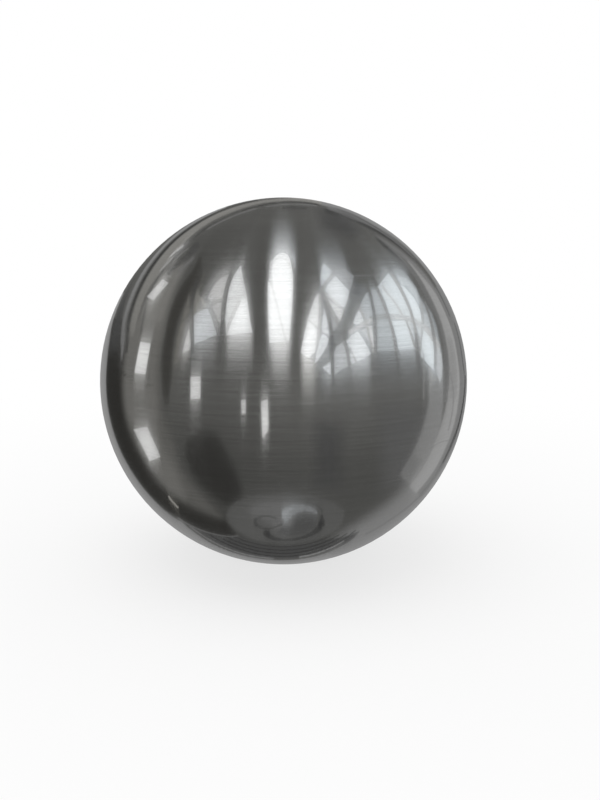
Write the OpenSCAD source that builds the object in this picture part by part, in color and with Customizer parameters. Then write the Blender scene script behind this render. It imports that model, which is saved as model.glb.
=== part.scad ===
/* [Ball] */
// Diameter of the ball
ball_d = 50; // [5:0.5:150]

/* [Hidden] */
// Segments round the equator when the ball is drawn as a mesh
ball_segments = 180;

// One solid true sphere about the origin, with no flat, hole or seam.
// Its finish is brushed round Z, so that axis is the ball's pole axis.
module ball() {
    color([0.48, 0.48, 0.47])
        sphere(d = ball_d, $fn = ball_segments);
}

ball();
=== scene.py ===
"""A brushed steel ball on a pale floor.

The ball is the CAD node itself with a brushed steel material. Steel shows what stands
round it, so the studio has cards that only reflections see: a skylight, two window
walls, lit panels and grey walls. Each card is placed by where its reflection falls in
the 600 x 800 picture. Its outline is a list of points in that picture's pixels, with y
running downwards, or of places along the ball's outline there.
"""
import math

import bpy
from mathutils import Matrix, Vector
from mathutils.geometry import delaunay_2d_cdt


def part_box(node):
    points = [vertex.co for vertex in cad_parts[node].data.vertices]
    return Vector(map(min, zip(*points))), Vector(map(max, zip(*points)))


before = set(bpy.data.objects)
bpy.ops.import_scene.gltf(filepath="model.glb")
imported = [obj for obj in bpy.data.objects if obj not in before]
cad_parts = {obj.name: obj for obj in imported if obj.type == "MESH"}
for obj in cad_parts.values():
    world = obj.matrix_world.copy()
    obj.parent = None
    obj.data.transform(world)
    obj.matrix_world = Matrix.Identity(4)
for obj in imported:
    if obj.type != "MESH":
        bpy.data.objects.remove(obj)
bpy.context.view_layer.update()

# The picture, and where the ball is in it
PICTURE_W, PICTURE_H = 600, 800
BALL_CENTRE_PX = Vector((283.5, 380.9))
BALL_RADIUS_PX = 183.6
FOCAL_PX = 900
CAMERA_ELEVATION = math.radians(9.5)
DISTANCE_TRIM = 1.00097        # brings the drawn outline to the radius above
SENSOR = 36.0
NEAREST_SEEN, FURTHEST_SEEN = 0.001, 20

# The ball, in metres
BALL_LOW, BALL_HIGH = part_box("ball")
BALL_R = (BALL_HIGH[2] - BALL_LOW[2]) / 2
FLOOR_Z = BALL_LOW[2]

# The steel. Pitches and depth are in metres, lengths of marks in pitches
STEEL_REFLECTS = 0.585         # share of light sent back where the steel faces the camera
RIM_POWER = 4                  # how steeply that share grows towards the ball's outline
STEEL_DARK, STEEL_LIGHT = (0.448, 0.448, 0.438, 1), (0.552, 0.552, 0.542, 1)
NOISE_RANGE = (0.3, 0.7)       # where most of the noise lies
ROUGH_RANGE = (0.11, 0.21)
BRUSH_PITCH = 0.000065         # from one brush mark to the next
BRUSH_DEPTH = 0.000005
SHORT_MARK, LONG_MARK = 8, 60
LONG_SHARE = 0.6
SCRATCH_PITCH = 0.00013        # the same for the grain and scratches that only tint the steel
GRAIN, SCRATCH = 1.6, 120
SCRATCH_SHARE = 0.62
CROSSWISE = 0.25               # a quarter turn, so that light is drawn out across the marks
COAT_ROUGH, COAT_IOR = 0.03, 2.4

# The floor and the light, in metres
FLOOR_R = 4.0
FLOOR_SIDES = 128
FLOOR_PAINT = (0.95, 0.95, 0.95, 1)
WHITENS = (0.025, 0.14)        # the floor whitens between these distances from the ball's foot
LEAST_WHITE = 0.72             # share of backdrop white where it starts to
WHITE = (1, 1, 1, 1)
LAMP_AT = Vector((-0.1, -0.1, 0.55))
LAMP_SIZE, LAMP_POWER = 0.6, 1.0
WORLD_LIGHT = 0.75             # the world's light on the object, where the backdrop's is 1

# The cards and the room, in metres. Each card is in front of those made before it
DOME_R = 2.0
SHELL_R = DOME_R * 1.01        # the room behind every card
SHELL_SIDES = 96
CARD_GAP = 0.004               # each stands this far inside the last, as a share of the dome
MAT_LIFT = 0.00002             # and this far above the last where it lies over the floor
MAT_HOLE = 0.005               # bare floor round the ball's foot
CARD_STEP = math.radians(2)    # between points of its mesh, as an angle round the room
PANE_STEP = math.radians(4)
CURVE_STEPS = 6                # straight parts to each stretch of a curve
TINY = 1e-9
WELD = 1e-6                    # points of a card's mesh this close are one
PANE_BOOST = 1.15
SHARP = 0.1                    # pixels over which an edge fades that has to look cut

# The room's grey, from 0 to 255, and that of the floor close to the ball, where the mat's darker grey is a
# painted shadow of the ball
ROOM_GREY, NEAR_GREY = 92, 72
NEAR_FLOOR = 0.05
ROOM_TINT = (1.0, 0.995, 0.955, 1)
# The share of light left where the room is dimmest, and the stretch of x or y where it dims,
# both taken from the way out from the ball
LEFT_SHARE, LEFT_STRETCH = 0.83, (-0.4, 0.15)
BACK_SHARE, BACK_STRETCH = 0.87, (0.6, 0.85)
TOP_SHARE = 0.82

# Rings round the ball's foot: how far in from its outline the dark ones are, and how all bend
RING_INSETS = (8, 11, 14.2, 17.6)
RING_BEND_RIGHT, RING_BEND_LEFT = 0.0145, 0.0075     # pixels for each square degree
RING_TURN = 4                                        # degrees from one place to the next

# Tints of the room's light
PLAIN = (1.0, 1.0, 1.0)
CLEAR = (0.985, 1.0, 1.015)
NEUTRAL = (1.0, 1.0, 0.98)
WARM = (1.02, 1.0, 0.95)
COOL = (0.96, 1.0, 1.04)
COLD = (0.93, 1.0, 1.05)
BROWN = (1.03, 1.0, 0.93)


# ---------------- camera

def make_camera():
    """Camera whose picture holds the ball where the photograph does."""
    distance = BALL_R * math.sqrt(1 + (FOCAL_PX / BALL_RADIUS_PX) ** 2) * DISTANCE_TRIM
    near = 1 - (BALL_R / distance) ** 2
    aside = (PICTURE_W / 2 - BALL_CENTRE_PX.x) * near / FOCAL_PX
    above = (PICTURE_H / 2 - BALL_CENTRE_PX.y) * near / FOCAL_PX
    pitch = CAMERA_ELEVATION + math.atan(above)
    yaw = math.atan(aside) / math.cos(CAMERA_ELEVATION)
    data = bpy.data.cameras.new("camera")
    data.sensor_fit = "VERTICAL"
    data.sensor_height = SENSOR
    data.lens = FOCAL_PX * SENSOR / PICTURE_H
    data.clip_start, data.clip_end = NEAREST_SEEN, FURTHEST_SEEN
    camera = bpy.data.objects.new("camera", data)
    camera.location = (0, -distance * math.cos(CAMERA_ELEVATION), distance * math.sin(CAMERA_ELEVATION))
    camera.rotation_euler = (math.pi / 2 - pitch, 0, -yaw)
    bpy.context.scene.collection.objects.link(camera)
    bpy.context.scene.camera = camera
    return camera


camera = make_camera()
EYE = Vector(camera.location)
TURN = camera.rotation_euler.to_matrix()


# ---------------- nodes

def new_material(name):
    material = bpy.data.materials.new(name)
    material.use_nodes = True
    material.node_tree.nodes.clear()
    return material, material.node_tree


def node(tree, kind, inputs=None, **settings):
    """A new node. An input is a link if a socket is given for it, and else a value."""
    made = tree.nodes.new(kind)
    for key, value in settings.items():
        setattr(made, key, value)
    for key, value in (inputs or {}).items():
        if isinstance(value, bpy.types.NodeSocket):
            tree.links.new(value, made.inputs[key])
        else:
            made.inputs[key].default_value = value
    return made


def calculated(tree, operation, *numbers):
    return node(tree, "ShaderNodeMath", dict(enumerate(numbers)), operation=operation).outputs[0]


def vectored(tree, operation, *vectors):
    return node(tree, "ShaderNodeVectorMath", dict(enumerate(vectors)), operation=operation).outputs


def ranged(tree, value, before, after, **settings):
    """A number moved from one range to another, and held inside it."""
    made = node(tree, "ShaderNodeMapRange", {"Value": value, "From Min": before[0], "From Max": before[1],
                                             "To Min": after[0], "To Max": after[1]}, **settings)
    return made.outputs[0]


def blended(tree, share, first, second):
    made = node(tree, "ShaderNodeMix", {"Factor": share, "A": first, "B": second}, data_type="FLOAT")
    return made.outputs[0]


def product(tree, *factors):
    total = factors[0]
    for factor in factors[1:]:
        total = calculated(tree, "MULTIPLY", total, factor)
    return total


def backdrop_rays(tree):
    """1 for the rays that see the backdrop: from the camera, or by way of polished or clear things."""
    ray = node(tree, "ShaderNodeLightPath").outputs
    seen = calculated(tree, "MAXIMUM", ray["Is Camera Ray"], ray["Is Glossy Ray"])
    return calculated(tree, "MAXIMUM", seen, ray["Is Transmission Ray"])


def linear(grey):
    """A picture's grey from 0 to 255 as linear light, by the sRGB curve."""
    share = grey / 255
    return share / 12.92 if share <= 0.04045 else ((share + 0.055) / 1.055) ** 2.4


# ---------------- steel

def brushed_steel():
    """Steel with a brushed finish round Z, which blurs up and down, under a thin sharp reflection."""
    material, tree = new_material("brushed_steel_look")
    place = node(tree, "ShaderNodeTexCoord").outputs["Object"]
    radial = vectored(tree, "NORMALIZE", place)[0]
    # The ball is a true sphere, so its normal is the way out from its centre
    normal = node(tree, "ShaderNodeVectorTransform", {0: radial}, vector_type="NORMAL",
                  convert_from="OBJECT", convert_to="WORLD").outputs[0]
    axes = node(tree, "ShaderNodeSeparateXYZ", {0: radial}).outputs
    latitude = calculated(tree, "ARCSINE", axes["Z"])

    def brush_marks(pitch, pitches_long, offset):
        """Noise drawn out along the brush's way. The offset keeps one noise apart from another."""
        across = product(tree, latitude, BALL_R / pitch)
        along = [product(tree, axes[axis], BALL_R / (pitch * pitches_long)) for axis in "XY"]
        at = node(tree, "ShaderNodeCombineXYZ", {0: along[0], 1: along[1], 2: across}).outputs[0]
        at = vectored(tree, "ADD", at, (offset, offset, offset))[0]
        return node(tree, "ShaderNodeTexNoise", {"Vector": at, "Scale": 1.0, "Detail": 1.0,
                                                 "Roughness": 0.5}).outputs[0]

    short = brush_marks(BRUSH_PITCH, SHORT_MARK, 3.0)
    long = brush_marks(BRUSH_PITCH, LONG_MARK, 11.0)
    marks = blended(tree, LONG_SHARE, short, long)
    grain = brush_marks(SCRATCH_PITCH, GRAIN, 23.0)
    scratches = brush_marks(SCRATCH_PITCH, SCRATCH, 31.0)
    fine = blended(tree, SCRATCH_SHARE, grain, scratches)

    colour = node(tree, "ShaderNodeValToRGB", {"Fac": fine})
    for stop, at, shade in zip(colour.color_ramp.elements, NOISE_RANGE, (STEEL_DARK, STEEL_LIGHT)):
        stop.position = at
        stop.color = shade
    rough = ranged(tree, marks, NOISE_RANGE, ROUGH_RANGE)
    bump = node(tree, "ShaderNodeBump", {"Height": marks, "Strength": 1.0, "Distance": BRUSH_DEPTH,
                                         "Normal": normal}).outputs[0]
    tangent = node(tree, "ShaderNodeTangent", direction_type="RADIAL", axis="Z").outputs[0]
    steel = node(tree, "ShaderNodeBsdfPrincipled", {
        "Base Color": colour.outputs["Color"], "Metallic": 1.0, "Roughness": rough,
        "Normal": bump, "Anisotropic": 1.0, "Anisotropic Rotation": CROSSWISE, "Tangent": tangent,
        "Coat Weight": 1.0, "Coat Roughness": COAT_ROUGH, "Coat IOR": COAT_IOR, "Coat Normal": normal})
    node(tree, "ShaderNodeOutputMaterial", {"Surface": steel.outputs[0]})
    return material


# ---------------- floor and light

def make_floor():
    bpy.ops.mesh.primitive_circle_add(vertices=FLOOR_SIDES, radius=FLOOR_R, fill_type="TRIFAN",
                                      location=(0, 0, FLOOR_Z))
    floor = bpy.context.object
    floor.name = "floor"
    material, tree = new_material("pale_floor")
    place = node(tree, "ShaderNodeTexCoord").outputs["Object"]
    reach = vectored(tree, "LENGTH", place)["Value"]
    # The floor close by keeps the ball's shadow, and whitens to the backdrop further out
    far = ranged(tree, reach, WHITENS, (LEAST_WHITE, 1.0), interpolation_type="SMOOTHSTEP")
    backdrop = product(tree, backdrop_rays(tree), far)
    paint = node(tree, "ShaderNodeBsdfDiffuse", {"Color": FLOOR_PAINT}).outputs[0]
    white = node(tree, "ShaderNodeEmission", {"Color": WHITE, "Strength": 1.0}).outputs[0]
    both = node(tree, "ShaderNodeMixShader", {0: backdrop, 1: paint, 2: white}).outputs[0]
    node(tree, "ShaderNodeOutputMaterial", {"Surface": both})
    material.cycles.emission_sampling = "NONE"
    floor.data.materials.append(material)


def make_light():
    """An even white world, and a soft lamp overhead that reflections don't see."""
    world = bpy.data.worlds.new("studio")
    bpy.context.scene.world = world
    world.use_nodes = True
    tree = world.node_tree
    tree.nodes.clear()
    strength = ranged(tree, backdrop_rays(tree), (0.0, 1.0), (WORLD_LIGHT, 1.0))
    back = node(tree, "ShaderNodeBackground", {"Color": WHITE, "Strength": strength}).outputs[0]
    node(tree, "ShaderNodeOutputWorld", {"Surface": back})

    data = bpy.data.lights.new("soft_box", "AREA")
    data.shape, data.size = "DISK", LAMP_SIZE
    data.energy = LAMP_POWER
    lamp = bpy.data.objects.new("soft_box", data)
    lamp.location = LAMP_AT
    lamp.rotation_euler = (-LAMP_AT).to_track_quat("-Z", "Y").to_euler()
    lamp.visible_glossy = False
    bpy.context.scene.collection.objects.link(lamp)


# ---------------- cards

def reflections_only(thing):
    """A card is seen by polished things alone: it lights nothing, and hides nothing from the camera."""
    thing.visible_camera = thing.visible_diffuse = thing.visible_shadow = False
    thing.visible_transmission = thing.visible_volume_scatter = False


def mirrored(at):
    """Where the picture's ray through a pixel leaves the ball, and the way it goes then."""
    ray = Vector(((at.x - PICTURE_W / 2) / FOCAL_PX, (PICTURE_H / 2 - at.y) / FOCAL_PX, -1))
    ray = (TURN @ ray).normalized()
    along = EYE.dot(ray)
    into = max(along * along - EYE.length_squared + BALL_R ** 2, 0)
    normal = (EYE + ray * (-along - math.sqrt(into))).normalized()
    return normal * BALL_R, ray - 2 * min(ray.dot(normal), 0) * normal


def on_studio(at, layer):
    """The place on the dome, or on the mat over the floor, that the ball shows at a pixel."""
    start, way = mirrored(at)
    wall = DOME_R * (1 - layer * CARD_GAP)
    along = start.dot(way)
    reach = -along + math.sqrt(along * along - start.length_squared + wall * wall)
    if way.z < 0:
        drop = (FLOOR_Z + MAT_LIFT * (layer + 1) - start.z) / way.z
        reach = min(reach, max(drop, 0))
    return start + way * reach


def unrolled(at):
    """Pixel to angle: how far round the reflection is from the camera's own, and which way."""
    out = at - BALL_CENTRE_PX
    share = min(out.length / BALL_RADIUS_PX, 1)
    return out.normalized() * 2 * math.asin(share) if out.length else Vector((0, 0))


def rolled(angle):
    """Angle back to pixel."""
    out = angle.normalized() if angle.length else Vector((0, 0))
    return BALL_CENTRE_PX + out * math.sin(min(angle.length, math.pi) / 2) * BALL_RADIUS_PX


def steel_reflects(outline):
    """Share of a card's light that reaches the camera: steel sends back more towards the ball's outline."""
    total = 0
    for p in outline:
        share = (p - BALL_CENTRE_PX).length / BALL_RADIUS_PX
        total += math.sqrt(max(1 - share ** 2, 0))
    return STEEL_REFLECTS + (1 - STEEL_REFLECTS) * (1 - total / len(outline)) ** RIM_POWER


def smooth(*points):
    """A smooth curve through a few points."""
    points = [Vector(p) for p in points]
    ends = [2 * points[0] - points[1]] + points + [2 * points[-1] - points[-2]]
    curve = []
    for a, b, c, d in zip(ends, ends[1:], ends[2:], ends[3:]):
        for i in range(CURVE_STEPS):
            t = i / CURVE_STEPS
            curve.append((2 * b + (c - a) * t + (2 * a - 5 * b + 4 * c - d) * t * t
                          + (3 * b - 3 * c + d - a) * t ** 3) / 2)
    return curve + [points[-1]]


def around(*places):
    """A smooth curve along the ball's outline. A place is (degrees clockwise from the top, pixels in)."""
    curve = []
    for turn, inset in smooth(*places):
        out = Vector((math.sin(math.radians(turn)), -math.cos(math.radians(turn))))
        curve.append(BALL_CENTRE_PX + out * (BALL_RADIUS_PX - inset))
    return curve


def stepped(path, step):
    """A path's points as angles, with more put between them where they lie over a step apart."""
    angles = []
    for a, b in zip(path, path[1:]):
        parts = max(1, math.ceil((unrolled(b) - unrolled(a)).length / step))
        angles += [unrolled(a.lerp(b, i / parts)) for i in range(parts)]
    return angles


def fade_in(at, outline, soft):
    """0 on the outline, rising to 1 at the soft distance inside it, which is one width in pixels, or one
    across and one down."""
    wide, high = soft if isinstance(soft, tuple) else (soft, soft)

    def scaled(p):
        return Vector((p.x / wide, p.y / high))

    at, nearest = scaled(at), 1.0
    for a, b in zip(outline, outline[1:] + outline[:1]):
        a, side = scaled(a), scaled(b - a)
        t = min(max((at - a).dot(side) / max(side.length_squared, TINY), 0), 1)
        nearest = min(nearest, (at - a - side * t).length)
    return nearest * nearest * (3 - 2 * nearest)


def card_mesh(name, outline, layer, soft, step, ramp, core):
    """A card that fills an outline given in pixels. Its fade attribute runs from 0 at its edge to 1, and
    along a ramp from its full row of pixels to its empty one."""
    edge = stepped(outline + outline[:1], step)
    low = [min(p[i] for p in edge) for i in (0, 1)]
    high = [max(p[i] for p in edge) for i in (0, 1)]
    columns, rows = [int((high[i] - low[i]) / step) + 1 for i in (0, 1)]
    inner = [Vector((low[0] + (i + 0.5) * step, low[1] + (j + 0.5) * step))
             for i in range(columns) for j in range(rows)]
    inner += stepped(core, step)
    points, _, faces, *_ = delaunay_2d_cdt(edge + inner, [], [list(range(len(edge)))], 1, WELD)
    pixels = [rolled(p) for p in points]
    mesh = bpy.data.meshes.new(name)
    mesh.from_pydata([on_studio(p, layer) for p in pixels], [], faces)
    if soft or ramp:
        fade = mesh.attributes.new("fade", "FLOAT", "POINT")
        for i, p in enumerate(pixels):
            fade.data[i].value = fade_in(p, outline, soft) if soft else 1
            if ramp:
                fade.data[i].value *= min(max((p.y - ramp[1]) / (ramp[0] - ramp[1]), 0), 1) ** 2
    return mesh


def card_material(light, tint, fades):
    material, tree = new_material("card")
    glow = node(tree, "ShaderNodeEmission", {"Color": (*tint, 1), "Strength": light}).outputs[0]
    if fades:
        fade = node(tree, "ShaderNodeAttribute", attribute_name="fade").outputs["Fac"]
        clear = node(tree, "ShaderNodeBsdfTransparent").outputs[0]
        glow = node(tree, "ShaderNodeMixShader", {0: fade, 1: clear, 2: glow}).outputs[0]
    node(tree, "ShaderNodeOutputMaterial", {"Surface": glow})
    material.cycles.emission_sampling = "NONE"
    return material


card_count = 0


def card(name, grey, outline, tint=PLAIN, soft=0, boost=1, step=CARD_STEP, ramp=None, core=()):
    """A lit or dark card: grey is the picture's level that it gives, from 0 to 255. Soft is how wide its
    faded edge is in pixels, and core is a path where its mesh needs points."""
    global card_count
    card_count += 1
    outline = [Vector(p) for p in outline]
    mesh = card_mesh(name, outline, card_count, soft, step, ramp, core)
    light = boost * linear(grey) / steel_reflects(outline)
    mesh.materials.append(card_material(light, tint, soft or ramp))
    made = bpy.data.objects.new("card_" + name, mesh)
    bpy.context.scene.collection.objects.link(made)
    reflections_only(made)


def band(name, grey, one, other, tint=PLAIN, soft=1):
    """A card between two curves along the ball's outline that run the same way."""
    card(name, grey, around(*one) + around(*other)[::-1], tint, soft)


def strip(name, grey, width, path, tint, soft):
    """A narrow card along a path, of one width or tapering from one to another, in pixels."""
    start, end = width if isinstance(width, tuple) else (width, width)
    sides = ([], [])
    for i, p in enumerate(path):
        way = (path[min(i + 1, len(path) - 1)] - path[max(i - 1, 0)]).normalized()
        half = (start + (end - start) * i / (len(path) - 1)) / 2
        across = Vector((-way.y, way.x)) * half
        sides[0].append(p + across)
        sides[1].append(p - across)
    card(name, grey, sides[0] + sides[1][::-1], tint, soft, core=path if soft else ())


def bar(name, grey, width, *points, tint=PLAIN, soft=0):
    """A strip along a smooth curve through a few points."""
    strip(name, grey, width, smooth(*points), tint, soft)


def rim_bar(name, grey, width, *places, soft=0.6):
    """A strip along the ball's outline."""
    strip(name, grey, width, around(*places), PLAIN, soft)


def pane(name, grey, *outline, tint=PLAIN, boost=PANE_BOOST):
    """A window's glass. The brushed steel draws its light out up and down, so it is lit a little over
    its level."""
    card(name, grey, outline, tint, boost=boost, step=PANE_STEP)


def spill(name, grey, side, full, empty, *outline, tint=PLAIN):
    """Light drawn out from a window: soft at its sides, and fading from its full row of pixels to its
    empty one."""
    card(name, grey, outline, tint, soft=(side, SHARP), ramp=(full, empty))


# ---------------- room

def room_material():
    """Soft grey: dimmer to the left, overhead and behind, and on the floor close to the ball, where the
    darkening is a painted shadow of the ball.
    """
    material, tree = new_material("room")
    place = node(tree, "ShaderNodeTexCoord").outputs["Object"]
    away = vectored(tree, "LENGTH", place)["Value"]
    way = vectored(tree, "NORMALIZE", place)[0]
    way = node(tree, "ShaderNodeSeparateXYZ", {0: way}).outputs
    closeness = calculated(tree, "DIVIDE", 1.0, away)
    # Painted shadow: the mat's glow darkens close to the ball, where the ball shades the floor
    near = ranged(tree, closeness, (0.0, 1 / NEAR_FLOOR), (1.0, linear(NEAR_GREY) / linear(ROOM_GREY)))
    side = ranged(tree, way["X"], LEFT_STRETCH, (LEFT_SHARE, 1.0))
    high = ranged(tree, way["Z"], (0.0, 1.0), (1.0, TOP_SHARE))
    back = ranged(tree, way["Y"], BACK_STRETCH, (1.0, BACK_SHARE))
    light = product(tree, near, side, high, back, linear(ROOM_GREY) / STEEL_REFLECTS)
    glow = node(tree, "ShaderNodeEmission", {"Color": ROOM_TINT, "Strength": light}).outputs[0]
    node(tree, "ShaderNodeOutputMaterial", {"Surface": glow})
    material.cycles.emission_sampling = "NONE"
    return material


def make_room():
    """The room behind every card: a dome, and a mat over the floor with a hole round the ball's foot."""
    material = room_material()
    bpy.ops.mesh.primitive_uv_sphere_add(segments=SHELL_SIDES, ring_count=SHELL_SIDES // 2, radius=SHELL_R)
    dome = bpy.context.object
    dome.name = "room_dome"
    dome.data.materials.append(material)
    reflections_only(dome)
    ring = bpy.data.meshes.new("room_mat")
    turns = [2 * math.pi * i / SHELL_SIDES for i in range(SHELL_SIDES)]
    spots = [(r * math.cos(turn), r * math.sin(turn), FLOOR_Z + MAT_LIFT) for r in (MAT_HOLE, SHELL_R)
             for turn in turns]
    after = [(i + 1) % SHELL_SIDES for i in range(SHELL_SIDES)]
    ring.from_pydata(spots, [], [(i, j, SHELL_SIDES + j, SHELL_SIDES + i) for i, j in enumerate(after)])
    ring.materials.append(material)
    mat = bpy.data.objects.new("room_mat", ring)
    bpy.context.scene.collection.objects.link(mat)
    reflections_only(mat)


def left_side():
    """The wall on the left, with the dark band, folds and rails along the ball's outline."""
    band("left_dark_band", 42,
         [(196, 23), (200, 18.5), (205, 15.3), (210, 13), (218, 10.5), (225, 7.5), (240, 6), (270, 5),
          (285, 3), (291, 1)],
         [(203, 33), (210, 33), (218, 31.5), (225, 29.8), (232, 28.8), (240, 28.8), (270, 27.8),
          (280, 22.4), (287, 18), (291, 15.5)], BROWN, soft=1.5)
    band("left_dark_top", 68, [(277, 5), (282, 5.5), (288, 3), (298, -1), (308, -2), (320, -2)],
         [(277, 18), (282, 16), (287, 14), (292, 11), (300, 7.2), (308, 4), (315, 2.6), (320, 1.2)],
         soft=(2, 18))
    band("left_wall_far", 86,
         [(203, 29), (210, 26), (218, 23), (226, 21), (240, 21.5), (270, 21), (290, 24), (300, 26)],
         [(203, 38), (210, 45), (220, 50), (230, 54), (240, 62), (250, 63), (260, 64), (270, 63), (280, 62),
          (290, 60), (300, 54)], WARM, soft=9)
    band("left_wall", 100,
         [(218, 25), (226, 20.5), (232, 20), (240, 20), (255, 18), (270, 18.5), (278, 18.5), (285, 19.5),
          (292, 20), (300, 22), (310, 24), (318, 24)],
         [(218, 36), (226, 44), (232, 49), (240, 50), (250, 55), (260, 60), (270, 61), (280, 60), (290, 59),
          (300, 54), (310, 47), (318, 41)], WARM, soft=9)
    band("left_wall_high", 114, [(293, 25), (298, 22.5), (303, 21), (310, 19), (319, 18)],
         [(293, 50), (298, 51), (303, 48), (310, 43), (322, 35)], WARM, soft=6)
    band("left_cove", 126,
         [(285.5, 23.3), (292, 19), (300, 15), (307.5, 11.9), (315, 9), (322, 6.6), (330, 5), (337, 3.6),
          (345, 2.6), (352, 1.8), (360, 0.6), (368, -1), (376, -1)],
         [(287, 28), (296, 24.3), (303, 21.5), (310, 20.5), (316, 20), (321, 16.5), (325, 13.5),
          (330, 11.3), (337, 9), (345, 7.3), (352, 5.4), (360, 4.2), (368, 3.4), (376, 4.5)], WARM, soft=0.8)
    band("left_trim", 124,
         [(277, 19.5), (281, 17.3), (285, 14.5), (292, 10.7), (300, 7.5), (307.5, 4.8), (315, 2.8),
          (322, 1.2), (330, 0), (342, -1)],
         [(277, 21.5), (281, 21), (285, 19.5), (292, 15.2), (300, 11.8), (307.5, 8.6), (315, 6.2),
          (322, 4.2), (330, 3), (342, 1.4)], soft=0.8)
    rim_bar("left_trim_gap", 50, (3.6, 1.2), (280, 24), (285, 21.8), (292, 17.3), (300, 13.6),
            (307.5, 10.4), (315, 7.8), (322, 5.6), (330, 4), (337, 2.8), (345, 1.9), (352, 1.2), soft=0.7)
    rim_bar("left_thin_line", 70, 2.2, (288, 33.4), (293, 30.6), (299, 26.7), (303, 23.7), (307, 21.8),
            (313, 20.4))
    card("left_shade", 66,
         around((312, 24), (318, 23.2), (323, 23), (328, 18.5), (328, 26), (324, 30), (318, 29), (312, 28)),
         soft=2)
    bar("left_shade_low", 74, 5.6, (180, 262.5), (174.5, 266.6), (170, 270), (165.5, 274), soft=2)
    bar("left_rail_bed", 112, 5, (189.5, 241.5), (184, 246.8), (178.5, 252), (173, 258), soft=1.2)
    bar("left_rail", 198, (3.6, 1.8), (184.3, 244.8), (178.8, 248.9), (174.2, 252.5), (169, 257.4), soft=0.8)
    bar("left_rail_low", 168, 1.8, (173.5, 256.8), (168.4, 261.8), (163.8, 266.4), (159, 272), soft=0.5)
    bar("left_rail_thin", 142, 1.5, (189, 247.5), (184, 251.5), (179, 255.8), (173, 261.5), soft=0.5)
    bar("left_wall_tip", 112, 5, (177, 273), (184, 266.5), (190, 261), (195, 256.5), soft=1.5)
    band("left_rib", 57,
         [(327, 29), (324, 35), (320, 40), (310, 44.7), (300, 50.6), (290, 56), (280, 58.3), (270, 60.5),
          (258, 61.5)],
         [(327, 34), (324, 46), (320, 55), (314, 58.5), (310, 58.5), (300, 63), (290, 67.6), (280, 71),
          (272, 73), (258, 67)], BROWN, soft=2.2)
    card("left_hollow", 46,
         smooth((203, 428), (218, 432), (231, 452), (241, 475), (246, 496), (232, 509), (212, 500),
                (195, 484), (185, 466), (181, 450), (188, 436), (203, 428)), WARM, soft=8)
    bar("left_glint", 158, 1.6, (168.2, 496.2), (172.6, 501.9), (178.4, 508.1), tint=BROWN)
    band("rim_wall", 133, [(108, -2), (150, -2), (200, -2), (250, -2), (299, -2)],
         [(108, 1.8), (120, 3.2), (128, 4), (135, 5.5), (142, 7.5), (150, 8.5), (157, 9.5), (165, 7),
          (172, 5.3), (180, 4.7), (188, 4.6), (195, 5), (202, 5.8), (209, 7.8), (213, 9.3), (216, 10.2),
          (219, 9), (225, 8), (240, 7.2), (247, 6.6), (255, 6.4), (262, 6.3), (270, 6.4), (277, 6.4),
          (283, 5.4), (288, 3.5), (293, 2.6), (299, 1.6)], soft=0.7)


def top_side():
    """Thin folds and lines over the top of the ball and down its right shoulder."""
    band("top_fold", 110, [(14, 2.5), (24, 2.5), (34, 2.5), (48, 3.5)],
         [(14, 6.5), (24, 8), (34, 6.5), (48, 6.5)], soft=0.7)
    band("top_dark_fold", 50,
         [(13, 5.8), (18, 6.8), (22, 7.8), (26, 6.6), (30, 5.9), (38, 5.2), (45, 4.9), (52, 3.7),
          (62, 4.1)],
         [(13.6, 11), (18, 11), (22, 10.2), (26, 9.8), (30, 9.2), (38, 7.8), (45, 6.7), (52, 4.7),
          (62, 5.2)], soft=0.7)
    band("right_trim", 131, [(12, -2), (40, -2), (70, -2)],
         [(12, 4), (22, 3.1), (30, 3.8), (38, 2.9), (45, 2.9), (52, 3.4), (60, 3.7), (70, 4)], soft=0.7)
    card("top_right_shade", 76, [(312, 203), (352, 210), (372, 234), (352, 246), (316, 234)], soft=14)
    rim_bar("top_line", 45, 1.9, (346, 8.4), (352, 6.9), (357, 5.6), (363, 4.5), (371.5, 3.9))
    rim_bar("top_shade", 66, 3.6, (359.5, 10.2), (364, 9.8), (368, 9.4), soft=1.5)
    rim_bar("top_left_line", 62, 2, (328, 14.6), (331, 13.2), (334, 12.1), (337, 10.9), (340, 10),
            (343, 9.1), (346, 8.1), soft=0.8)
    rim_bar("top_glint", 122, 1.8, (354, 8.7), (360, 7.2), (365, 6.2), (371, 5.3))
    rim_bar("top_left_glint", 128, 1.8, (333, 13.8), (337, 12.9), (341, 11.9), (346, 10.6), (351, 9),
            soft=0.5)
    rim_bar("top_thin_line", 90, 1.4, (17, 3.7), (24, 3.8), (30, 4.4), (38, 4.3), (45, 4.1), (50, 4.1),
            soft=0.5)


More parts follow.
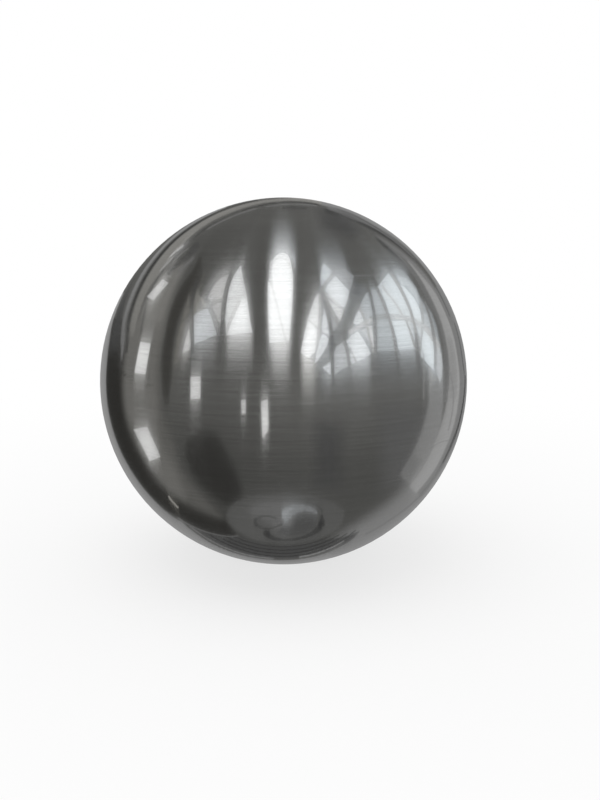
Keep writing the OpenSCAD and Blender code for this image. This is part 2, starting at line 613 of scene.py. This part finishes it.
def right_side():
    """The walls, folds and lines on the right, and the light on the floor there."""
    card("right_floor_glow", 87, [(365, 392), (450, 392), (450, 455), (428, 500), (372, 500)], soft=28)
    card("floor_band", 66, [(304, 410), (352, 416), (352, 497), (304, 497)], soft=(23, 24))
    band("lower_wall", 119, [(116, -10), (140, -10), (166, -10)],
         [(116, 30), (129, 30.5), (135, 30.5), (142, 31), (150, 31), (158, 29), (166, 22)], soft=15)
    band("right_outer", 121, [(58, -2), (90, -2), (130, -2)],
         [(58, 8), (75, 8), (90, 8), (112, 9), (130, 12)])
    band("right_rim_glow", 139, [(110, -2), (125, -2), (140, -2)], [(110, 1.5), (125, 3.6), (140, 3)])
    card("right_wall_glow", 138, [(427, 360), (443, 360), (441, 388), (436, 402), (427, 402)], soft=(3, 12))
    band("right_wall", 122, [(90, 22), (112, 19), (129.5, 19)],
         [(90, 35), (98, 37.8), (112, 37.7), (120, 36.8), (126, 36), (129.5, 35)], soft=1.8)
    band("right_wall_low", 110, [(119, 22), (129, 21)], [(119, 37), (129, 35)], soft=5)
    band("right_fold", 106, [(36, 12.5), (45, 12), (52, 12.5), (60, 13.5), (75, 15), (90, 17), (98, 19)],
         [(37, 16.8), (45, 17.4), (52, 17.7), (60, 20.2), (68, 19.6), (75, 20.6), (82, 22.5), (92, 24),
          (98, 23)], soft=0.8)
    band("top_spot", 46, [(32.5, 13.4), (36, 13), (40, 13.4), (44, 14.2), (48, 15)],
         [(32.5, 14.4), (36, 16.2), (40, 16.8), (44, 16.2), (48, 15.6)], soft=0.7)
    band("right_cove_top", 116, [(31, 10.5), (38, 8.7), (45, 7.2), (54, 5.4), (62, 6)],
         [(31, 12), (38, 13.2), (45, 13), (54, 13.3), (62, 9)])
    band("right_cove", 148,
         [(46, 9.5), (52, 9.3), (60, 7.4), (68, 7.2), (75, 6.8), (82, 7.2), (90, 6.6), (97, 6.8),
          (105, 6.9), (112, 7.4), (120, 7.6), (127, 8.7), (130.5, 9.4)],
         [(46, 12.2), (52, 13.2), (60, 15), (68, 15.8), (75, 16.8), (82, 17.6), (90, 18.6), (97, 19.6),
          (105, 20.6), (112, 21), (120, 20.5), (127, 20.6), (130.5, 20.6)], soft=1.2)
    band("right_cove_shade", 137, [(75, 9.5), (83, 9), (90, 9), (96, 9.5)],
         [(75, 15), (83, 16.5), (90, 17), (96, 17)], soft=2)
    rim_bar("right_cove_line", 122, 1.8, (87, 17), (91, 14.7), (95, 12.8), (100, 12), (107, 11.5))
    rim_bar("right_rim_fold", 92, 1.6, (56, 4.6), (62, 4.8), (69, 5.2))
    rim_bar("right_rim_line_top", 88, 1.5, (71, 3), (78, 3.2), (84, 3.3), (88, 2.4))
    rim_bar("right_rim_line", 42, (1.4, 2.1), (88, 1.8), (92, 2.1), (97, 2.6), (104, 3.1), (109, 3.6))
    rim_bar("right_rim_line_low", 70, (2.6, 2), (107, 3.5), (112, 4.1), (119, 4.6))
    bar("right_cove_curl", 112, 1.8, (449, 440.5), (443, 441.5), (437, 444), (431, 448), soft=0.6)
    rim_bar("right_low_line", 110, 2.2, (117, 4.3), (128, 5), (135, 6.3), (142, 8.3), (152, 9.8), soft=0.7)


def floor_marks():
    """Under the ball: a pale disc with leaf shapes in it, and thin rings of light and dark round it."""
    band("floor_shade", 72,
         [(153, 15), (156, 11), (160, 8.6), (165, 7.4), (172, 6.2), (178, 6), (184, 5.2), (190, 5),
          (195, 5.4), (202, 6.9), (208, 8.6), (214, 11)],
         [(153.5, 15.8), (157, 16.4), (161, 17.6), (166, 19.8), (172, 20), (180, 19.8), (188, 20.5),
          (196, 22.5), (200, 18.3), (204, 15), (208, 13), (214, 12)])
    card("floor_disc", 84,
         smooth((225, 514), (230, 505), (242, 497.5), (262, 493), (290, 491.5), (318, 495), (338, 504),
                (346, 514), (338, 529), (318, 540), (288, 545), (255, 541), (236, 531), (227, 521),
                (225, 514)), NEUTRAL, soft=1.5)
    card("floor_disc_glow", 101,
         smooth((243, 510), (252, 501.5), (268, 496), (292, 495.5), (305, 500), (301, 510), (298, 524),
                (290, 539), (278, 539), (266, 527), (250, 519), (243, 510)), soft=9)
    card("petal_shade", 73,
         smooth((290, 521), (295, 516.5), (302, 513.8), (312, 513.8), (318, 517.5), (317.4, 525),
                (309, 532), (294, 536), (279, 535), (275, 531), (281, 527), (290, 521)), soft=2.6)
    card("petal_star", 102, smooth((279, 521), (285, 513), (297, 520), (294, 528), (286, 531), (279, 521)),
         soft=8)
    card("petal_glow", 135,
         smooth((284, 524), (281.8, 519), (281, 513), (282.6, 508.6), (288, 505.2), (296, 503.8),
                (305, 504.3), (312, 506.4), (317, 509.8), (319.3, 515.5))
         + smooth((318, 516), (312, 513.2), (304.5, 511.9), (298, 513.6), (292, 517.8), (287, 523.5)), COOL,
         soft=0.5)
    card("petal_glow_left", 152,
         smooth((283.5, 522), (281, 516), (282, 510.5), (287, 507.5), (295, 507), (291, 512), (287.5, 517)),
         COOL, soft=1.2)
    bar("petal_left", 50, 2.6, (283, 524), (274, 527.5), (266, 529), (257, 526), (254.5, 521), (260, 517),
        (268, 516.5), (278, 519), soft=0.9)
    bar("petal_left_side", 60, 4, (261, 517), (256.4, 519), (255.4, 522.4), (258, 526), (263, 528), soft=1.2)
    card("petal_low", 48,
         smooth((263.5, 529.5), (263, 535), (270, 539.6), (280, 541.6), (295, 541), (309, 537.6),
                (320, 531.4), (325.2, 525), (325, 520), (321.6, 513))
         + smooth((269.5, 530), (271.5, 534), (277, 537), (286, 538.3), (297, 537.2), (307, 533.6),
                  (314, 528.8), (317.4, 523.6), (319, 518.4), (319.8, 513))[::-1], soft=0.8)
    bar("petal_edge", 64, 2, (306, 502), (314, 504.2), (320, 508), (322.5, 512), soft=0.7)

    def ring(name, grey, width, inset, start, end):
        """A ring round the ball's foot. How far in from the outline it is grows to each side."""
        places = [(turn, inset + (RING_BEND_RIGHT if turn < 180 else RING_BEND_LEFT) * (turn - 180) ** 2)
                  for turn in range(start, end + 1, RING_TURN)]
        rim_bar(name, grey, width, *places, soft=0.5)

    for i, inset in enumerate(RING_INSETS):
        ring("ring_dark_%d" % (i + 1), 30, 1.5, inset, 154 + 3 * i, 206 - 2 * i)
    ring("ring_lit_right", 138, 2, 6.3, 159, 177)
    rim_bar("ring_lit_left", 122, 1.8, (183, 5.6), (192, 5.9), (200, 7), (208, 9.1), (213, 10.8), soft=0.5)
    ring("ring_outer", 80, 1.2, 4.6, 153, 175)
    rim_bar("floor_edge_line", 112, 2.2, (196, 22.5), (200, 18), (206, 14.3), (212, 11.8), (218, 10.5),
            soft=0.7)


def spills():
    """The light round the windows: it fades away above and below them."""
    card("skylight_glow", 130,
         [(264.5, 250), (299, 250), (297.5, 300), (294, 345), (291, 352), (265.5, 352)], soft=(5, 14))
    spill("skylight_above", 182, 13, 251, 211, (267, 203), (298.5, 203), (299.5, 262), (266.5, 262),
          tint=COOL)
    spill("skylight_below", 214, 8, 345, 396, (267.8, 338), (292.8, 338), (291.8, 405), (268.8, 405))
    spill("left_below", 184, 3, 334, 380, (226, 330), (254, 330), (254, 395), (225, 395))
    spill("left_below_far", 128, 7, 342, 385, (193.5, 338), (221, 334), (218, 385), (193.5, 385))
    spill("right_near_below", 214, 5, 356, 414, (299.5, 345), (317.5, 345), (317, 425), (299.5, 425),
          tint=NEUTRAL)
    spill("right_below", 138, 4, 366, 400, (317, 355), (334, 366), (356, 356), (372, 350), (372, 402),
          (317, 402), tint=COOL)
    spill("right_far_below", 114, 2, 356, 402, (372, 350), (420, 350), (430, 362), (430, 405), (372, 405),
          tint=COOL)
    spill("right_mid_below", 170, 4, 363, 378, (346, 352), (372, 350), (371, 392), (346, 392), tint=COOL)
    spill("right_sill_glow", 165, 2, 350, 361, (397.5, 345), (417, 345), (417, 362), (397.5, 362), tint=COOL)
    spill("right_foot_glow", 152, 3, 374, 392, (321, 366), (333, 366), (333, 392), (321, 392), tint=COOL)
    spill("right_above_far", 98, 12, 262, 226, (315, 224), (346, 226), (352, 275), (318, 275), tint=COOL)
    spill("right_above", 134, 4, 264, 238, (320.3, 234), (341, 234), (350, 275), (321.3, 275), tint=COOL)
    spill("right_far_above", 127, 6, 272, 242, (378, 242), (397, 248), (411, 268), (411, 285), (378, 285),
          tint=COOL)


def skylight():
    """The bright streak down the middle."""
    card("skylight", 250,
         smooth((271.2, 268), (273.6, 259.5), (277, 255), (281.2, 253), (285.5, 253.4), (289, 257),
                (291.4, 266), (292.8, 276), (293, 286), (292.4, 300), (291.6, 312), (290.6, 325),
                (289.4, 341)) + [(269.4, 343), (267.9, 311), (267.7, 285)], tint=CLEAR, boost=1.1)
    card("skylight_wedge", 204, [(290.5, 252.5), (295.3, 251.5), (296, 268), (293.2, 272)], COOL, soft=0.8)
    bar("skylight_edge", 216, 3.6, (272.2, 259), (270.7, 267), (270.5, 276), (271.6, 287), tint=CLEAR,
        soft=1)
    bar("skylight_arch", 243, 1.8, (273.4, 263), (277, 258.6), (282, 257.6), (287, 261), (291, 268),
        soft=0.6)
    bar("skylight_line", 228, 3, (271.4, 283), (273.4, 292), (275.8, 301), (278.2, 310), (280, 318),
        (282, 326), (284.2, 334), (286.5, 342), soft=0.8)


def left_windows():
    """The left wall of windows: its glow, panes from left to right, then the bars between them."""
    card("left_recess", 108, smooth((190, 288), (185, 304), (179, 325), (174.5, 345), (172.5, 366))
         + [(190.5, 360), (191, 305)], BROWN, soft=1.5)
    bar("left_recess_line", 84, 2.4, (191.5, 313.5), (185, 318.5), (178.5, 325), soft=0.7)
    card("left_far_glow", 146, [(183, 322), (191, 314), (191, 358), (176, 360)], soft=(4, 10))
    card("left_arch", 127, smooth((203, 285), (210.5, 274), (220, 266.5), (231, 260.5), (241, 255))
         + smooth((237, 275), (229, 290), (222, 334)) + smooth((210, 340), (193, 350))
         + [(194, 316), (202, 300)], soft=6)
    pane("left_far_pane", 204, (189, 328), (190.8, 345), (190.3, 349.5), (182.6, 353.5), (184, 345),
         (186.6, 336))
    pane("left_brown_pane", 118, (197, 289), (201, 300), (205, 308), (200, 311), (194, 315), (194, 303),
         tint=BROWN)
    pane("left_brown_side", 162, (200, 297), (203, 298), (207, 306), (204.5, 308), (202, 304), tint=BROWN,
         boost=1)
    pane("left_low_pane", 196, (193.8, 315.5), (198, 312), (206, 308.5), (208.8, 309), (211.5, 318),
         (214, 326), (217, 334.7), (210, 337.5), (201, 341.5), (194.5, 344), (194, 335), tint=COOL)
    pane("left_upper_pane", 186, (208, 298), (210, 292), (215.5, 283.5), (221, 278), (229.5, 273.5),
         (227.5, 282), (225, 291), (223, 299), (212, 302.5))
    pane("left_inner_pane", 178, (211.5, 306.5), (217, 303.5), (222.5, 302), (221.5, 312), (220.5, 326),
         (216, 315))
    pane("left_tall_pane", 212, (241.2, 265), (242.3, 274), (244.2, 284), (246.8, 296), (248.5, 310),
         (250.1, 322), (252.8, 332.6), (226.5, 334.8), (225, 318), (227, 300), (229, 288), (232.3, 279),
         (236.8, 270.5), tint=CLEAR)
    pane("left_bright_pane", 244, (240.5, 299.5), (246.8, 299), (248.6, 310), (250.2, 322), (252.8, 332.6),
         (227.3, 334.8), (230, 327), (233.4, 319), (237.5, 309), tint=CLEAR, boost=1.16)
    bar("left_arch_line", 92, 2, (203, 280.5), (210, 274.5), (220, 268.3), (229, 264), soft=0.7)
    bar("left_transom", 150, 2.5, (209, 304), (216, 301), (223, 299.5))
    bar("left_transom_inner", 197, 3.4, (227.5, 299), (235, 297), (246, 295))
    bar("left_brace", 130, (3, 3.4), (203, 295), (208, 305), (213, 317), (217.5, 327), (220.7, 336))
    bar("left_brace_inner", 188, 3, (240.5, 300), (236.4, 307.7), (232.6, 315.5), (229.4, 323), (226.5, 331))
    bar("left_mullion", 120, (2.6, 3.4), (236.4, 264), (229.4, 277), (225.4, 291), (223, 306), (222.2, 320))
    bar("left_mullion_low", 86, (3.8, 4.6), (222.3, 319), (221.8, 330), (220.8, 340), (220, 352), soft=0.8)
    bar("left_slim_mullion", 64, (3, 2.4), (196.5, 280), (192.8, 294), (191.2, 308))
    bar("left_slim_lower", 92, 2.3, (190.9, 307), (190.8, 325), (192, 348))


def right_windows():
    """The right wall of windows: its haze, panes from left to right, then most of the bars."""
    card("right_haze", 148, smooth((321.5, 262), (340, 264), (353, 276))
         + smooth((349, 298), (342, 313), (334, 330), (318, 364))
         + [(300.5, 354), (302, 340), (306.2, 322), (310.4, 309), (314.8, 295), (318.8, 283)], COOL, soft=2)
    card("right_foot_haze", 182, [(328, 310), (336, 317), (342, 318), (338, 331), (330, 333)], COOL, soft=2)
    card("right_mid_haze", 160,
         [(355, 315), (361, 304), (367, 296), (372.5, 302), (375, 330), (366, 332), (351, 328)], COOL,
         soft=2)
    card("right_bay_haze", 158,
         smooth((368, 288), (380, 284), (389, 271), (397, 267), (405, 271.6), (411, 279.4), (417, 287.5),
                (420, 296), (426, 304), (431.4, 310.8), (434, 316.8), (436, 321.8), (437.8, 327.8),
                (439, 335), (440.4, 342), (441.8, 350), (443.3, 363), (443, 382))
         + smooth((434, 376), (421, 357), (396, 351), (370, 354), (349, 367), (334, 376))
         + [(331, 362), (345, 341), (351, 326), (360, 308)], COLD, soft=1.5)
    card("right_crest_edge", 206,
         smooth((393.5, 272.5), (399, 274), (406, 277), (412, 282.5), (417, 289), (419.4, 296), (420, 306))
         + [(418.6, 308), (414, 298), (406, 287), (399, 285)], COLD, soft=1.5)
    pane("right_near_pane", 230, (301.8, 350), (304, 336), (307.2, 322), (310.5, 310), (314, 300.5),
         (318.5, 293), (319.5, 300), (319.3, 315), (317.6, 330), (315.8, 352), (309, 357), tint=CLEAR)
    pane("right_near_lower", 252, (300.4, 353), (302.3, 344), (304.5, 333), (307, 324.5), (310, 322.5),
         (316, 328), (315.3, 340), (314, 352), (308.8, 358), tint=CLEAR, boost=1.2)
    pane("right_top_pane", 214, (323.2, 262.8), (332.6, 271.6), (327.5, 277.5), (322, 287.5),
         (320.2, 280.5), (320.9, 271), tint=COLD)
    pane("right_roof_pane", 160, (334, 270), (345, 269), (354, 276), (352.5, 285), (349.5, 291),
         (344, 281.5), (338, 275.5), tint=COOL)
    pane("right_diamond", 231, (335.3, 276), (342, 283), (349.6, 290.8), (348, 297), (344.6, 308.6),
         (334, 299.5), (324.6, 290.6), (329.5, 283), tint=COOL)
    pane("right_diamond_foot", 222, (327.2, 298.5), (334, 304), (343.8, 311), (340, 320.6), (333, 309.5),
         tint=CLEAR)
    pane("right_slim_upper", 222, (324.5, 309), (327, 319), (329.5, 334), (329, 336.5), (321.5, 331),
         (322.3, 320), tint=COOL)
    pane("right_slim_lower", 236, (323, 333), (329, 338.5), (327, 347), (321, 356), (315.5, 363.5),
         (315.5, 359), (317.5, 348), (320, 339), tint=COOL)
    pane("right_small_pane", 238, (330.6, 360.5), (330.8, 375), (326.5, 371.5), (322, 367), (326, 365.5),
         tint=COOL)
    bar("right_cross", 205, 2.4, (306.5, 318.5), (312, 323), (318, 328), soft=0.5)
    bar("right_cross_far", 165, 2.4, (318, 328), (323, 332.5), (329, 336.5), soft=0.5)
    pane("right_low_pane", 192, (334, 352), (337, 346), (342, 342.5), (344.5, 343), (347, 352), (349, 361),
         (348.5, 366), (341, 370), (334.5, 375), tint=COOL)
    pane("right_mid_pane", 234, (345.9, 341), (351, 336), (357.8, 331.3), (363, 338.5), (367.5, 346.5),
         (371.2, 354.2), (363.5, 358.8), (356.8, 361.8), (351.5, 352), tint=COOL)
    bar("right_mid_brace", 192, 1.6, (350, 347), (353, 354.5), (356.6, 362))
    pane("right_mid_foot", 222, (350.5, 352), (352.6, 356), (355.4, 362.3), (352.2, 364.4), (350.2, 360),
         tint=COOL)
    pane("right_mid_upper", 232, (358.8, 310), (361.3, 314), (363.7, 320.5), (357, 325), (353, 323),
         (355.3, 316.5), tint=COOL)
    pane("right_mid_side", 198, (361, 330.5), (367, 326.5), (372.3, 326), (373.6, 336), (373.6, 350),
         (366, 338), tint=COOL)
    pane("right_mid_sliver", 224, (369.2, 327), (371.3, 326), (373, 338), (373.7, 350), (372.4, 350.5),
         (370.8, 338), tint=CLEAR)
    pane("right_grey_slim", 187, (359.6, 306.8), (362.5, 299.8), (367, 292.5), (370, 300), (372.5, 313),
         (372, 318), (366.5, 319.5), (363, 312), tint=COLD)
    pane("right_grey_upper", 180, (371.5, 290), (377, 290), (382.6, 300), (388, 313), (375.5, 314.5),
         (374, 305), tint=COLD)
    pane("right_grey_lower", 180, (377.5, 320.5), (390.5, 319.5), (394.5, 335), (396, 350.5), (377, 351.5),
         (377.5, 335), tint=COLD)
    pane("right_crest", 218, (378, 286.4), (382.6, 280), (388.4, 273.2), (394, 281), (398.5, 288),
         (403.5, 298), (408.3, 308), (411, 317), (397, 314), (389, 313.5), (386, 303), (379.5, 290),
         tint=COLD)
    pane("right_crest_far", 224, (399.5, 284.5), (404, 286.5), (409.4, 292.2), (413.8, 297.5),
         (417.4, 303.6), (420, 310), (421, 316), (421.3, 322), (414.5, 319.5), (412, 310), (408.5, 301),
         (404, 292), tint=COLD)
    pane("right_broad", 219, (391, 320.5), (400, 320.5), (410, 321), (414.5, 336), (415.8, 348.4),
         (398.5, 349.8), (397, 340), (394.5, 330), tint=COLD)
    pane("right_broad_side", 198, (409.5, 322), (413, 323), (415.5, 333), (416.8, 345), (414.8, 344),
         (412, 332), tint=COLD)
    pane("right_slim_far", 202, (414.5, 318), (420.5, 320), (421, 330), (420.5, 338), (418, 334), tint=COLD)
    pane("right_slim_foot", 160, (418, 335), (421, 337), (421, 350), (419.5, 350), tint=COOL)
    pane("right_far_pane", 220, (423.5, 331), (427.5, 333), (431, 337), (432.3, 340.5), (433.6, 346),
         (434, 352), (434.2, 360), (433.6, 370), (428.5, 364.5), (421, 356.5), (420.5, 352), (421.8, 343),
         tint=COLD)
    pane("right_far_upper", 184, (423.5, 313), (427.5, 313), (430, 320), (431.5, 327), (430.5, 331),
         (424.5, 326), tint=COLD)
    pane("right_last_pane", 184, (436.6, 346), (439.6, 347), (441.6, 355), (442.6, 364), (442.2, 376),
         (440, 382.5), (436.8, 374), (435.8, 364), (436, 354), tint=COOL)
    bar("right_transom", 152, 5, (370, 319.5), (380, 316.8), (389, 315.7))
    bar("right_transom_near", 200, 4, (349, 332.5), (357, 328), (364, 323.6), (372, 319.6))
    bar("right_transom_far", 184, 5, (390, 316.5), (396, 317), (404, 317.8), (412, 320), (420, 324.5),
        (427, 330), (434, 339), (439, 347))
    bar("right_crest_line", 190, 2.2, (382, 285.5), (386.6, 292), (391.5, 298), (396, 304), (399.7, 310),
        (403, 316))
    bar("right_crest_low", 162, 2.2, (406, 320), (409, 328), (411, 334), (413, 340), (415, 347))
    bar("right_mullion_a", 110, (2.4, 3), (368.5, 287), (371, 297), (372.6, 305), (374, 313), (374.7, 321))
    bar("right_mullion_a_low", 128, 3, (374.7, 320), (375, 330), (375.7, 338), (375.5, 346), (375.3, 353))
    bar("right_mullion_b", 142, 2.6, (377, 288), (380.5, 296), (383.8, 304), (387, 312), (389.8, 320),
        (392.2, 328), (394, 337), (395.5, 346), (396.2, 352))
    bar("right_mullion_b_low", 92, 2.6, (396, 351), (397, 360), (397.5, 370), soft=0.8)
    bar("right_mullion_c_top", 178, (3, 4), (391, 273), (395.2, 280), (399.2, 286), (402, 292), soft=0.8)
    bar("right_mullion_c", 166, (2.2, 2.4), (401, 290), (405.2, 298), (407.8, 304), (410.2, 310),
        (412.2, 316), (413.8, 322), (415.2, 328), (416, 334))
    bar("right_mullion_c_low", 124, (2.4, 4), (416, 333), (416.3, 338), (416.6, 345), (417.2, 352))
    bar("right_mullion_c_foot", 90, 4, (417.2, 351), (417.8, 358), (417.8, 372), soft=0.8)
    bar("right_mullion_d", 152, 2.2, (421.6, 302), (422.2, 315), (422.2, 330), (421, 342), (420, 352))
    bar("right_mullion_k", 122, (1.8, 3.2), (424.8, 301), (427.6, 310), (429.3, 316), (431.2, 322),
        (432.4, 328), (433.3, 334), (434.4, 340))
    bar("right_mullion_k_low", 138, 3.4, (434.6, 339.5), (435.2, 346), (435.4, 354), (435.3, 366), soft=0.6)
    bar("right_mullion_e", 180, 2, (359.8, 308), (363, 315), (366, 321), (367.6, 328), (369.3, 336),
        (371.3, 344), (373.3, 352))
    bar("right_mullion_f", 142, 3, (343.6, 341), (347.5, 352), (349.6, 366))
    bar("right_mullion_g", 108, (3.2, 2.2), (331.8, 338), (332.4, 356), (332.7, 376))
    bar("right_mullion_h", 122, (3, 4), (321, 290), (325, 304), (328.5, 316), (331, 330))
    bar("right_mullion_i", 150, (3, 4), (321.5, 291), (327.3, 302), (333.4, 314), (339, 326))
    bar("right_diamond_bar", 208, 2, (325, 292.6), (334, 301.3), (343, 309.4))
    bar("right_mullion_j", 185, 2.5, (319.8, 293), (319.8, 310), (319, 330), (316.8, 350))
    bar("right_hip", 146, 3.2, (321.6, 290), (326.6, 281.6), (333.4, 274))
    card("right_rib", 90,
         smooth((352.6, 276), (350.8, 288), (347.4, 300), (345.8, 306), (344, 312), (341, 318.4),
                (335.8, 327), (328.6, 341), (317, 364))
         + smooth((323, 368), (331.3, 354), (336.8, 342.5), (340.8, 336), (343.6, 330), (345.8, 324),
                  (348.2, 318), (351.4, 312), (356, 305.8), (361.4, 299), (368, 290)), COOL, soft=1.5)
    bar("right_thin_pole", 150, 1.6, (423.5, 352), (424, 375), (423.5, 400), soft=0.6)


def lit_panels():
    """Small lit panels: three towards the ball's left outline, and three nearer its middle."""
    pane("panel_high", 208, (162.6, 279), (168.4, 283.2), (153.4, 300.3), (146.6, 296.8))
    pane("panel_side", 212, (140.3, 341.4), (150.6, 343.8), (145.3, 374.5), (134.2, 373), boost=1.17)
    pane("panel_low", 194, (133.3, 429.2), (147, 426.6), (160.6, 457), (149.6, 461.3), boost=1.2)
    pane("panel_middle", 196, (190.4, 376.8), (200.4, 376.8), (200.4, 399.2), (190.4, 399.2), boost=1.4)
    pane("panel_slim", 188, (240.8, 400.2), (245.7, 399.4), (245.8, 412.8), (241.8, 415), boost=1.45)
    pane("panel_tall", 194, (260.8, 401.4), (267.9, 399.4), (268.6, 429.6), (263.4, 437.8), (262.3, 437.2),
         boost=1.4)


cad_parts["ball"].material_slots[0].material = brushed_steel()
make_floor()
make_light()
make_room()
left_side()
top_side()
right_side()
floor_marks()
spills()
left_windows()
right_windows()
skylight()
lit_panels()

bpy.context.scene.view_settings.view_transform = "Standard"
